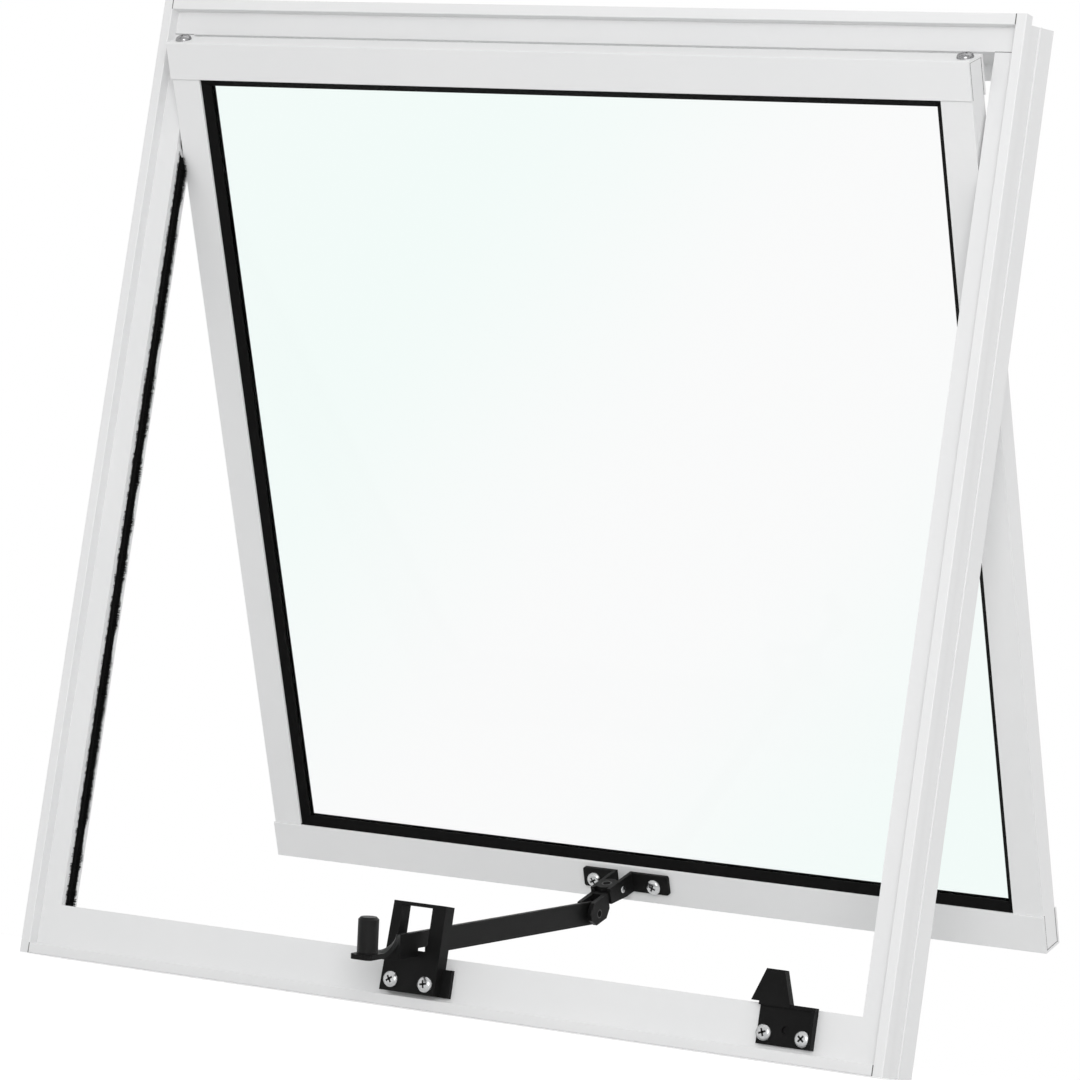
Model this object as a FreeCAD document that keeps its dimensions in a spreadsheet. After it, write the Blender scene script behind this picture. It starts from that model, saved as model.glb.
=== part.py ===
import FreeCAD, Part
import Sketcher
import os
import re

# Top hung awning window, sash open, in millimetres.
# X runs across the window, Y runs outwards through the wall, Z is up.
# The origin is the centre of the sill's underside.

DIMS = {
    # Outer frame, with depths measured from the lip's room-side face
    "frame_width": 600,
    "frame_height": 600,
    "frame_depth": 42,
    "frame_wall": 1.4,
    "edge_round": 0.6,
    "lip_width": 6.6,
    "lip_depth": 7.5,
    "body_inset": 3,
    "jamb_face": 20.8,
    "jamb_chamber": 23,
    "jamb_end_drop": 4.5,
    "head_face": 20.8,
    "head_stop": 9,
    "sill_rise": 31.8,
    "sill_ledge": 17.6,
    "key_rib_depth": 24.7,
    "key_rib_width": 1.6,
    "key_rib_height": 0.8,
    # Pile seal strips on the jambs
    "pile_depth": 11.5,
    "pile_base_width": 6.5,
    "pile_base_thick": 0.8,
    "pile_width": 4.6,
    "pile_length": 2.6,
    "pile_clear": 0.8,
    # Sash, open about side pivots
    "open_angle": 27.6,
    "pivot_depth": 17.5,
    "pivot_drop": 67,
    "sash_side_gap": 0.8,
    "sash_head_gap": 0.8,
    "sash_sill_gap": 3.4,
    "sash_thick": 17.6,
    "sash_wall": 1.4,
    "rail_face": 23.3,
    "stile_face": 20.6,
    "stile_inset": 0.5,
    "glass_pocket": 10,
    "glass_thick": 4,
    "gasket_base": 1.5,
    "gasket_lap": 4.9,
    "gasket_tip": 0.6,
    "pivot_radius": 4,
    "pivot_collar_radius": 7,
    "pivot_reach": 5,
    "pivot_clear": 0.1,
    # Stay: bracket on the sash, swivel fork, flat arm, guide and keep on the sill
    "stay_offset": -12.1,
    "bracket_height": 12.4,
    "bracket_rise": 7.6,
    "bracket_wall": 2.4,
    "bracket_arm_gap": 9.2,
    "bracket_foot_left": 28.7,
    "bracket_foot_right": 32.5,
    "bracket_reach": 29,
    "bracket_corner": 1.5,
    "bracket_end_height": 10,
    "bracket_pin_reach": 21,
    "bracket_eye": 2,
    "bracket_eye_reach": 14.6,
    "bracket_eye_drop": 6.2,
    "lug_thick": 3,
    "swivel_radius": 3.2,
    "swivel_bore": 2.5,
    "pin_clear": 0.1,
    "fork_gap": 0.3,
    "fork_width": 12,
    "fork_cheek": 2.8,
    "fork_start": 9,
    "fork_drop": 2.6,
    "fork_length": 16.6,
    "fork_height": 14.6,
    "fork_tongue": 3,
    "fork_pin_reach": 21,
    "fork_pin_drop": 11.3,
    "tilt_radius": 2.7,
    "tilt_bore": 2.1,
    "arm_thick": 3,
    "arm_height": 14.2,
    "arm_end": 6.4,
    "arm_lead": 20.6,
    "arm_twist": 25,
    "arm_tab": 15,
    "arm_tab_drop": 2.1,
    "arm_notch": 4.6,
    "arm_notch_clear": 1.2,
    "knob_edge": 8.4,
    "knob_radius": 6.1,
    "knob_height": 21.2,
    "knob_chamfer": 1.4,
    "guide_depth": 9.2,
    "guide_low": 8.8,
    "guide_top": 61.7,
    "guide_left": 20.2,
    "guide_foot_left": 22,
    "guide_right": 16.2,
    "guide_tab": 6.2,
    "guide_tab_height": 16.5,
    "guide_tab_thick": 3,
    "guide_window_left": 14.2,
    "guide_window_right": 7,
    "guide_window_low": 34,
    "guide_window_top": 59.6,
    "arm_clear": 1.7,
    "keep_inset": 45.6,
    "keep_low": 9,
    "keep_width": 35.8,
    "keep_height": 23.8,
    "keep_thick": 4.6,
    "keep_rim": 2,
    "keep_recess": 2,
    "keep_hole": 2.4,
    "keep_hole_rise": 9.3,
    "keep_hole_depth": 1.2,
    "keep_hook_thick": 5,
    "keep_hook_height": 18.6,
    "keep_hook_reach": 5.2,
    "keep_hook_foot": 19.8,
    "keep_hook_tip": 11.7,
    "keep_hook_lean": 7.4,
}

doc = FreeCAD.newDocument("awning_window")
sheet = doc.addObject("Spreadsheet::Sheet", "dims")
for row, (alias, number) in enumerate(DIMS.items(), start=1):
    sheet.set("A%d" % row, alias)
    sheet.set("B%d" % row, str(number))
    sheet.setAlias("B%d" % row, alias)
doc.recompute()

WORD = re.compile(r"[a-z_]+")


def formula(text):
    """The text as an expression on the sheet's cells."""
    return WORD.sub(lambda hit: "dims." + hit.group() if hit.group() in DIMS else hit.group(), str(text))


def value(text):
    """The text's number at the sheet's present values."""
    return float(sheet.evalExpression(str(text)))


def bind(item, prop, text):
    item.setExpression(prop, formula(text))


# Places in the window's own frame
FRONT = "(-(lip_depth + frame_depth) / 2)"
HIGH = "frame_height"
HALF = "(frame_width / 2)"
OPENING = "(frame_height - head_face - sill_rise)"
PIVOT_Y = "(%s + pivot_depth)" % FRONT
PIVOT_Z = "(%s - head_face - pivot_drop)" % HIGH

# Places in the sash's own frame: x across, y outwards, z up, about the pivot axis
SASH_HALF = "(%s - jamb_face - sash_side_gap)" % HALF
SASH_TOP = "(pivot_drop - sash_head_gap)"
SASH_LOW = "(pivot_drop + sash_sill_gap - %s)" % OPENING
FACE = "(-sash_thick / 2)"
BACK = "(sash_thick / 2)"
LUG_TOP = "(%s + bracket_rise + bracket_height)" % SASH_LOW
LUG_Y = "(%s - bracket_pin_reach)" % FACE
TILT_Y = "(%s - fork_pin_reach)" % LUG_Y
TILT_Z = "(%s - fork_pin_drop)" % LUG_TOP
SIN = "sin(open_angle * 1 deg)"
COS = "cos(open_angle * 1 deg)"

# The tilt pin and the arm's slope in the window's frame
TILT_WORLD_Y = "(%s + %s * %s - %s * %s)" % (PIVOT_Y, TILT_Y, COS, TILT_Z, SIN)
TILT_WORLD_Z = "(%s + %s * %s + %s * %s)" % (PIVOT_Z, TILT_Y, SIN, TILT_Z, COS)
GUIDE_Y = "(%s + lip_depth - guide_depth)" % FRONT
ARM_PASS_Z = "(guide_window_low + arm_clear - arm_notch + arm_height / 2)"
ARM_SLOPE = "atan((%s - %s) / (%s - %s))" % (TILT_WORLD_Z, ARM_PASS_Z, TILT_WORLD_Y, GUIDE_Y)
ARM_RUN = "((%s - %s) / cos(%s))" % (TILT_WORLD_Y, GUIDE_Y, ARM_SLOPE)
ARM_STRAIGHT = "(%s + arm_lead)" % ARM_RUN
ARM_LENGTH = "(%s + arm_twist + arm_tab)" % ARM_STRAIGHT

bodies = []


def new_body(label, place=None, turn=None):
    """An empty body; place is its origin and turn its angle about the X axis."""
    body = doc.addObject("PartDesign::Body", label)
    body.Label = label
    bodies.append(body)
    if place:
        body.Placement.Rotation.Axis = FreeCAD.Vector(1, 0, 0)
        for axis, text in zip("xyz", place):
            bind(body, ".Placement.Base." + axis, text)
        bind(body, ".Placement.Rotation.Angle", turn)
    return body


def sash_body(label):
    return new_body(label, ("0", PIVOT_Y, PIVOT_Z), "open_angle * 1 deg")


def stay_body(label):
    """A sash body whose x starts at the stay's centre line."""
    return new_body(label, ("stay_offset", PIVOT_Y, PIVOT_Z), "open_angle * 1 deg")


def arm_body(label):
    return new_body(label, ("stay_offset", TILT_WORLD_Y, TILT_WORLD_Z), ARM_SLOPE)


def sketch_on(body, role, height="0"):
    """A sketch on one of the body's origin planes, lifted along the plane's normal."""
    sketch = body.newObject("Sketcher::SketchObject", body.Name + "_sketch")
    plane = [item for item in body.Origin.OriginFeatures if item.Role == role][0]
    sketch.AttachmentSupport = [(plane, "")]
    sketch.MapMode = "FlatFace"
    bind(sketch, ".AttachmentOffset.Base.z", height)
    return sketch


def add_outline(sketch, corners):
    """A closed outline of straight lines with each corner tied to the sheet."""
    count = len(corners)
    first = sketch.GeometryCount
    spots = [FreeCAD.Vector(value(x), value(y), 0) for x, y in corners]
    for index in range(count):
        sketch.addGeometry(Part.LineSegment(spots[index], spots[(index + 1) % count]))
    for index in range(count):
        here = first + index
        after = first + (index + 1) % count
        sketch.addConstraint(Sketcher.Constraint("Coincident", here, 2, after, 1))
    for index, corner in enumerate(corners):
        for kind, text in zip(("DistanceX", "DistanceY"), corner):
            number = sketch.addConstraint(Sketcher.Constraint(kind, first + index, 1, value(text)))
            bind(sketch, "Constraints[%d]" % number, text)


def add_circle(sketch, x, y, radius):
    centre = FreeCAD.Vector(value(x), value(y), 0)
    here = sketch.addGeometry(Part.Circle(centre, FreeCAD.Vector(0, 0, 1), value(radius)))
    for kind, text in (("DistanceX", x), ("DistanceY", y)):
        number = sketch.addConstraint(Sketcher.Constraint(kind, here, 3, value(text)))
        bind(sketch, "Constraints[%d]" % number, text)
    number = sketch.addConstraint(Sketcher.Constraint("Radius", here, value(radius)))
    bind(sketch, "Constraints[%d]" % number, radius)


def pad(body, sketch, length):
    feature = body.newObject("PartDesign::Pad", body.Name + "_pad")
    feature.Profile = sketch
    bind(feature, "Length", length)
    doc.recompute()
    return feature


def pocket(body, sketch, length, forward=False):
    """Cut from the sketch: forward cuts along the plane's normal. The cut has to remove something."""
    before = body.Shape.Volume
    feature = body.newObject("PartDesign::Pocket", body.Name + "_pocket")
    feature.Profile = sketch
    feature.Reversed = forward
    bind(feature, "Length", length)
    doc.recompute()
    if body.Shape.Volume > before - 1e-6:
        raise RuntimeError("a pocket cut nothing in " + body.Label)
    return feature


def revolve(body, sketch, axis):
    feature = body.newObject("PartDesign::Revolution", body.Name + "_turned")
    feature.Profile = sketch
    feature.ReferenceAxis = (sketch, [axis])
    feature.Angle = 360
    doc.recompute()
    return feature


def round_edges(body, radius, chosen):
    """Fillet the tip's edges whose middle point and direction are chosen."""
    tip = body.Tip
    names = []
    for index, edge in enumerate(tip.Shape.Edges, start=1):
        if isinstance(edge.Curve, Part.Line) and chosen(edge.CenterOfMass, edge.Curve.Direction):
            names.append("Edge%d" % index)
    if not names:
        raise RuntimeError("no edge to round in " + body.Label)
    feature = body.newObject("PartDesign::Fillet", body.Name + "_round")
    feature.Base = (tip, names)
    bind(feature, "Radius", radius)
    doc.recompute()


def box_corners(low_x, low_y, high_x, high_y):
    return [(low_x, low_y), (high_x, low_y), (high_x, high_y), (low_x, high_y)]


# Frame: hollow extrusions

def sill_outline():
    """The sill behind its lip, in y and z: an upstand at the front and a ledge behind it."""
    return [
        ("%s + lip_depth" % FRONT, "0"),
        ("%s + frame_depth" % FRONT, "0"),
        ("%s + frame_depth" % FRONT, "sill_ledge"),
        ("%s + lip_depth + frame_wall" % FRONT, "sill_ledge"),
        ("%s + lip_depth + frame_wall" % FRONT, "sill_rise"),
        ("%s + lip_depth" % FRONT, "sill_rise"),
    ]


def head_outline():
    """The head behind its lip, in y and z, with a stop hanging down at the outer side."""
    return [
        ("%s + lip_depth" % FRONT, "%s - jamb_end_drop" % HIGH),
        ("%s + lip_depth" % FRONT, "%s - head_face" % HIGH),
        ("%s + frame_depth - frame_wall" % FRONT, "%s - head_face" % HIGH),
        ("%s + frame_depth - frame_wall" % FRONT, "%s - head_face - head_stop" % HIGH),
        ("%s + frame_depth" % FRONT, "%s - head_face - head_stop" % HIGH),
        ("%s + frame_depth" % FRONT, "%s - jamb_end_drop" % HIGH),
    ]


def round_lip(body, along):
    """Ease the lip's two room-side edges; along is the letter of the extrusion's direction."""
    front = value(FRONT)
    round_edges(body, "edge_round",
                lambda middle, way: abs(getattr(way, along)) > 0.99 and abs(middle.y - front) < 0.01)


def round_jamb_back(body):
    """Ease the jamb's outer edge at the weather side."""
    back = value("%s + frame_depth" % FRONT)
    wall = value("%s - body_inset" % HALF)
    round_edges(body, "edge_round",
                lambda middle, way: abs(middle.y - back) < 0.01 and abs(abs(middle.x) - wall) < 0.01)


def make_sill():
    body = new_body("frame_sill")
    sketch = sketch_on(body, "YZ_Plane", "-(%s - lip_width)" % HALF)
    add_outline(sketch, [
        (FRONT, "0"),
    ] + sill_outline()[1:] + [
        ("%s + lip_depth" % FRONT, "lip_width"),
        (FRONT, "lip_width"),
    ])
    add_outline(sketch, box_corners("%s + frame_wall" % FRONT, "frame_wall",
                                    "%s + lip_depth - frame_wall" % FRONT, "lip_width - frame_wall"))
    add_outline(sketch, box_corners("%s + lip_depth + frame_wall" % FRONT, "frame_wall",
                                    "%s + frame_depth - frame_wall" % FRONT, "sill_ledge - frame_wall"))
    pad(body, sketch, "frame_width - 2 * lip_width")
    round_lip(body, "x")


def make_head():
    body = new_body("frame_head")
    sketch = sketch_on(body, "YZ_Plane", "-(%s - lip_width)" % HALF)
    outline = head_outline()
    add_outline(sketch, [
        (FRONT, HIGH),
        (FRONT, "%s - lip_width" % HIGH),
        ("%s + lip_depth" % FRONT, "%s - lip_width" % HIGH),
    ] + outline[1:] + outline[:1] + [
        ("%s + lip_depth" % FRONT, HIGH),
    ])
    add_outline(sketch, box_corners("%s + frame_wall" % FRONT, "%s - lip_width + frame_wall" % HIGH,
                                    "%s + lip_depth - frame_wall" % FRONT, "%s - frame_wall" % HIGH))
    add_outline(sketch, box_corners("%s + lip_depth + frame_wall" % FRONT, "%s - head_face + frame_wall" % HIGH,
                                    "%s + frame_depth - frame_wall" % FRONT,
                                    "%s - jamb_end_drop - frame_wall" % HIGH))
    pad(body, sketch, "frame_width - 2 * lip_width")
    round_lip(body, "x")


def make_jamb(label, side):
    """A jamb; side is -1 at the left and 1 at the right."""
    body = new_body(label)

    def across(inward):
        return "%d * (%s - (%s))" % (side, HALF, inward)

    def deep(depth):
        return "%s + %s" % (FRONT, depth)

    sketch = sketch_on(body, "XY_Plane")
    add_outline(sketch, [
        (across("0"), FRONT),
        (across("lip_width"), FRONT),
        (across("lip_width"), deep("lip_depth")),
        (across("jamb_face"), deep("lip_depth")),
        (across("jamb_face"), deep("jamb_chamber")),
        (across("body_inset + frame_wall"), deep("jamb_chamber")),
        (across("body_inset + frame_wall"), deep("frame_depth")),
        (across("body_inset"), deep("frame_depth")),
        (across("body_inset"), deep("key_rib_depth + key_rib_width / 2")),
        (across("body_inset - key_rib_height"), deep("key_rib_depth + key_rib_width / 2")),
        (across("body_inset - key_rib_height"), deep("key_rib_depth - key_rib_width / 2")),
        (across("body_inset"), deep("key_rib_depth - key_rib_width / 2")),
        (across("body_inset"), deep("lip_depth")),
        (across("0"), deep("lip_depth")),
    ])
    add_outline(sketch, box_corners(across("frame_wall"), deep("frame_wall"),
                                    across("lip_width - frame_wall"), deep("lip_depth - frame_wall")))
    add_outline(sketch, box_corners(across("body_inset + frame_wall"), deep("lip_depth + frame_wall"),
                                    across("jamb_face - frame_wall"), deep("jamb_chamber - frame_wall")))
    pad(body, sketch, "frame_height")
    round_lip(body, "z")
    round_jamb_back(body)

    # Behind the lip the upper end is cut on a slope, and both ends are coped to take the sill and the head
    trim = sketch_on(body, "YZ_Plane", across("0"))
    add_outline(trim, [
        (deep("lip_depth"), "%s - jamb_end_drop" % HIGH),
        (deep("frame_depth"), HIGH),
        (deep("lip_depth"), HIGH),
    ])
    pocket(body, trim, "jamb_face", forward=side < 0)
    for outline in (sill_outline(), head_outline()):
        cope = sketch_on(body, "YZ_Plane", across("lip_width"))
        add_outline(cope, outline)
        pocket(body, cope, "jamb_face", forward=side < 0)
    hole = sketch_on(body, "YZ_Plane", across("jamb_face - frame_wall"))
    add_circle(hole, PIVOT_Y, PIVOT_Z, "pivot_radius + pivot_clear")
    pocket(body, hole, "frame_wall", forward=side < 0)


def make_pile_seal(label, side):
    body = new_body(label)
    wall = "(%s - jamb_face)" % HALF
    middle = "(%s + pile_depth + pile_base_width / 2)" % FRONT

    def spot(out, across):
        return ("%d * (%s - (%s))" % (side, wall, out), "%s + %s" % (middle, across))

    def sash_level(across):
        """How high the strip may reach at this place without touching the open sash."""
        lean = "(%s + %s - %s) * %s" % (middle, across, PIVOT_Y, COS)
        return "%s + (%s - pile_clear - %s) / %s" % (PIVOT_Z, FACE, lean, SIN)

    top = sash_level("-pile_base_width / 2")
    sketch = sketch_on(body, "XY_Plane", "sill_rise")
    add_outline(sketch, [
        spot("0", "-pile_base_width / 2"),
        spot("pile_base_thick", "-pile_base_width / 2"),
        spot("pile_base_thick", "-pile_width / 2"),
        spot("pile_base_thick + pile_length", "-pile_width / 2"),
        spot("pile_base_thick + pile_length", "pile_width / 2"),
        spot("pile_base_thick", "pile_width / 2"),
        spot("pile_base_thick", "pile_base_width / 2"),
        spot("0", "pile_base_width / 2"),
    ])
    pad(body, sketch, "%s - sill_rise" % top)

    # The upper end is cut along the open sash
    cut = sketch_on(body, "YZ_Plane", "%d * %s" % (side, wall))
    add_outline(cut, [
        ("%s - pile_base_width / 2" % middle, top),
        ("%s + pile_base_width / 2" % middle, sash_level("pile_base_width / 2")),
        ("%s + pile_base_width / 2" % middle, top),
    ])
    pocket(body, cut, "pile_base_thick + pile_length", forward=side < 0)


# Sash: two channels over the ends of two stiles, glass and gaskets

def make_rail(label, edge, side):
    """A rail; edge is its outer edge and side 1 at the top, -1 at the bottom."""
    body = sash_body(label)

    def inward(depth):
        return "%s - %d * (%s)" % (edge, side, depth)

    sketch = sketch_on(body, "YZ_Plane", "-" + SASH_HALF)
    add_outline(sketch, [
        (FACE, inward("0")),
        (BACK, inward("0")),
        (BACK, inward("rail_face")),
        (BACK + " - sash_wall", inward("rail_face")),
        (BACK + " - sash_wall", inward("sash_wall")),
        (FACE + " + sash_wall", inward("sash_wall")),
        (FACE + " + sash_wall", inward("rail_face")),
        (FACE, inward("rail_face")),
    ])
    pad(body, sketch, "2 * " + SASH_HALF)
    face = value(FACE)
    round_edges(body, "edge_round",
                lambda middle, way: abs(way.x) > 0.99 and abs(middle.y - face) < 0.01)


def make_stile(label, side):
    """A stile: a hollow chamber at the outer edge and two legs that hold the glass."""
    body = sash_body(label)

    def across(inward):
        return "%d * (%s - (%s))" % (side, SASH_HALF, inward)

    sketch = sketch_on(body, "XY_Plane", "%s + sash_wall" % SASH_LOW)
    add_outline(sketch, [
        (across("stile_inset"), FACE + " + sash_wall"),
        (across("stile_face"), FACE + " + sash_wall"),
        (across("stile_face"), FACE + " + 2 * sash_wall"),
        (across("glass_pocket"), FACE + " + 2 * sash_wall"),
        (across("glass_pocket"), BACK + " - 2 * sash_wall"),
        (across("stile_face"), BACK + " - 2 * sash_wall"),
        (across("stile_face"), BACK + " - sash_wall"),
        (across("stile_inset"), BACK + " - sash_wall"),
    ])
    add_outline(sketch, box_corners(across("stile_inset + sash_wall"), FACE + " + 2 * sash_wall",
                                    across("glass_pocket - sash_wall"), BACK + " - 2 * sash_wall"))
    pad(body, sketch, "%s - %s - 2 * sash_wall" % (SASH_TOP, SASH_LOW))
    hole = sketch_on(body, "YZ_Plane", across("stile_inset"))
    add_circle(hole, "0", "0", "pivot_radius + pivot_clear")
    pocket(body, hole, "sash_wall", forward=side < 0)


def make_pivot_pin(label, side):
    """A turned pin with a collar that fills the gap between stile and jamb."""
    body = sash_body(label)

    def across(outward):
        return "%d * (%s + (%s))" % (side, SASH_HALF, outward)

    sketch = sketch_on(body, "XY_Plane")
    add_outline(sketch, [
        (across("-stile_inset - pivot_reach"), "0"),
        (across("-stile_inset - pivot_reach"), "pivot_radius"),
        (across("-stile_inset"), "pivot_radius"),
        (across("-stile_inset"), "pivot_collar_radius"),
        (across("sash_side_gap"), "pivot_collar_radius"),
        (across("sash_side_gap"), "pivot_radius"),
        (across("sash_side_gap + pivot_reach"), "pivot_radius"),
        (across("sash_side_gap + pivot_reach"), "0"),
    ])
    revolve(body, sketch, "H_Axis")


def make_glass():
    body = sash_body("glass_pane")
    sketch = sketch_on(body, "XZ_Plane", "-glass_thick / 2")
    add_outline(sketch, box_corners("-%s + glass_pocket + gasket_base" % SASH_HALF,
                                    "%s + glass_pocket + gasket_base" % SASH_LOW,
                                    "%s - glass_pocket - gasket_base" % SASH_HALF,
                                    "%s - glass_pocket - gasket_base" % SASH_TOP))
    pad(body, sketch, "glass_thick")


def gasket_outline(inward, face, cover):
    """A gasket's section round the glass edge; inward places a distance from the sash's outer edge."""
    tip = face + " + gasket_lap"
    glass = "glass_thick / 2"
    return [
        (inward("glass_pocket"), FACE + " + " + cover),
        (inward(face), FACE + " + " + cover),
        (inward(tip), "-%s - gasket_tip" % glass),
        (inward(tip), "-" + glass),
        (inward("glass_pocket + gasket_base"), "-" + glass),
        (inward("glass_pocket + gasket_base"), glass),
        (inward(tip), glass),
        (inward(tip), glass + " + gasket_tip"),
        (inward(face), BACK + " - " + cover),
        (inward("glass_pocket"), BACK + " - " + cover),
    ]


def make_rail_gasket(label, edge, side):
    body = sash_body(label)
    span = "(%s - stile_face)" % SASH_HALF

    def inward(depth):
        return "%s - %d * (%s)" % (edge, side, depth)

    sketch = sketch_on(body, "YZ_Plane", "-" + span)
    section = gasket_outline(inward, "rail_face", "sash_wall")
    add_outline(sketch, [(across, along) for along, across in section])
    pad(body, sketch, "2 * " + span)

    # The lap is mitred at both ends
    for end in (-1, 1):
        mitre = sketch_on(body, "XZ_Plane", "-sash_thick")
        add_outline(mitre, [
            ("%d * %s" % (end, span), inward("rail_face")),
            ("%d * %s" % (end, span), inward("rail_face + 2 * gasket_lap")),
            ("%d * (%s - 2 * gasket_lap)" % (end, span), inward("rail_face + 2 * gasket_lap")),
        ])
        pocket(body, mitre, "2 * sash_thick", forward=True)


def make_stile_gasket(label, side):
    body = sash_body(label)

    def across(inward):
        return "%d * (%s - (%s))" % (side, SASH_HALF, inward)

    sketch = sketch_on(body, "XY_Plane", "%s + glass_pocket" % SASH_LOW)
    add_outline(sketch, gasket_outline(across, "stile_face", "2 * sash_wall"))
    pad(body, sketch, "%s - %s - 2 * glass_pocket" % (SASH_TOP, SASH_LOW))

    # The lap is mitred to meet the rail gaskets
    for edge, end in ((SASH_TOP, 1), (SASH_LOW, -1)):
        mitre = sketch_on(body, "XZ_Plane", "-sash_thick")
        add_outline(mitre, [
            (across("stile_face"), edge),
            (across("stile_face"), "%s - %d * rail_face" % (edge, end)),
            (across("stile_face + 2 * gasket_lap"), "%s - %d * (rail_face + 2 * gasket_lap)" % (edge, end)),
            (across("stile_face + 2 * gasket_lap"), edge),
        ])
        pocket(body, mitre, "2 * sash_thick", forward=True)


# Stay

def make_bracket():
    """Two feet on the bottom rail, two arms and a lug between them that carries the swivel pin."""
    body = stay_body("sash_bracket")
    inner = "bracket_arm_gap / 2"
    outer = "(bracket_arm_gap / 2 + bracket_wall)"
    low = "%s - bracket_height" % LUG_TOP

    lug = sketch_on(body, "XY_Plane", "%s - lug_thick" % LUG_TOP)
    add_circle(lug, "0", LUG_Y, outer)
    pad(body, lug, "lug_thick")

    for side, foot in ((-1, "bracket_foot_left"), (1, "bracket_foot_right")):
        plan = sketch_on(body, "XY_Plane", low)
        add_outline(plan, [
            ("%d * %s" % (side, foot), FACE),
            ("%d * %s" % (side, foot), FACE + " - bracket_wall"),
            ("%d * %s" % (side, outer), FACE + " - bracket_wall"),
            ("%d * %s" % (side, outer), FACE + " - bracket_reach"),
            ("%d * %s" % (side, inner), FACE + " - bracket_reach"),
            ("%d * %s" % (side, inner), FACE),
        ])
        pad(body, plan, "bracket_height")

    # The arms taper towards their ends, and the right one has an eye
    taper = sketch_on(body, "YZ_Plane", "-" + outer)
    add_outline(taper, [
        (FACE + " - bracket_pin_reach / 2", low),
        (FACE + " - bracket_reach", "%s - bracket_end_height" % LUG_TOP),
        (FACE + " - bracket_reach", low),
    ])
    pocket(body, taper, "2 * " + outer, forward=True)
    eye = sketch_on(body, "YZ_Plane", "bracket_arm_gap / 2")
    add_circle(eye, FACE + " - bracket_eye_reach", "%s - bracket_eye_drop" % LUG_TOP, "bracket_eye")
    pocket(body, eye, "bracket_wall", forward=True)
    bore = sketch_on(body, "XY_Plane", LUG_TOP)
    add_circle(bore, "0", LUG_Y, "swivel_radius + pin_clear")
    pocket(body, bore, "lug_thick")
    ends = (-value("bracket_foot_left"), value("bracket_foot_right"))
    round_edges(body, "bracket_corner",
                lambda middle, way: abs(way.y) > 0.99 and min(abs(middle.x - end) for end in ends) < 0.01)


def make_fork():
    """The swivel fork: a tongue under the lug and two cheeks for the tilt pin."""
    body = stay_body("swivel_fork")
    start = "(%s - fork_start)" % LUG_Y
    end = "(%s - fork_length)" % start
    top = "(%s - fork_drop)" % LUG_TOP
    low = "(%s - fork_height)" % top
    tongue_top = "(%s - lug_thick - fork_gap)" % LUG_TOP
    tongue_half = "(bracket_arm_gap / 2 - fork_gap)"
    corner = "fork_height / 3"

    cheeks = sketch_on(body, "YZ_Plane", "-fork_width / 2")
    add_outline(cheeks, [
        (start, top),
        (end, top),
        ("%s - %s" % (end, corner), "%s - %s" % (top, corner)),
        ("%s - %s" % (end, corner), "%s + %s" % (low, corner)),
        (end, low),
        ("%s - %s" % (start, corner), low),
        (start, "%s + %s" % (low, corner)),
    ])
    pad(body, cheeks, "fork_width")
    slot = sketch_on(body, "XY_Plane", top)
    add_outline(slot, box_corners("-fork_width / 2 + fork_cheek", "%s - fork_height" % end,
                                  "fork_width / 2 - fork_cheek", "%s - fork_cheek" % start))
    pocket(body, slot, "fork_height")
    tongue = sketch_on(body, "XY_Plane", "%s - fork_tongue" % tongue_top)
    add_outline(tongue, box_corners("-" + tongue_half, start, tongue_half, LUG_Y + " + " + tongue_half))
    pad(body, tongue, "fork_tongue")
    back = value(LUG_Y + " + " + tongue_half)
    round_edges(body, tongue_half + " - fork_gap",
                lambda middle, way: abs(way.z) > 0.99 and abs(middle.y - back) < 0.01)
    bore = sketch_on(body, "XY_Plane", tongue_top)
    add_circle(bore, "0", LUG_Y, "swivel_radius + pin_clear")
    pocket(body, bore, "fork_tongue")
    eye = sketch_on(body, "YZ_Plane", "-fork_width / 2")
    add_circle(eye, TILT_Y, TILT_Z, "tilt_radius + pin_clear")
    pocket(body, eye, "fork_width", forward=True)


def make_swivel_pin():
    body = stay_body("swivel_pin")
    length = "(lug_thick + fork_gap + fork_tongue)"
    ring = sketch_on(body, "XY_Plane", "%s - %s" % (LUG_TOP, length))
    add_circle(ring, "0", LUG_Y, "swivel_radius")
    add_circle(ring, "0", LUG_Y, "swivel_bore")
    pad(body, ring, length)


def make_tilt_pin():
    body = stay_body("tilt_pin")
    ring = sketch_on(body, "YZ_Plane", "-fork_width / 2")
    add_circle(ring, TILT_Y, TILT_Z, "tilt_radius")
    add_circle(ring, TILT_Y, TILT_Z, "tilt_bore")
    pad(body, ring, "fork_width")


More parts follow.
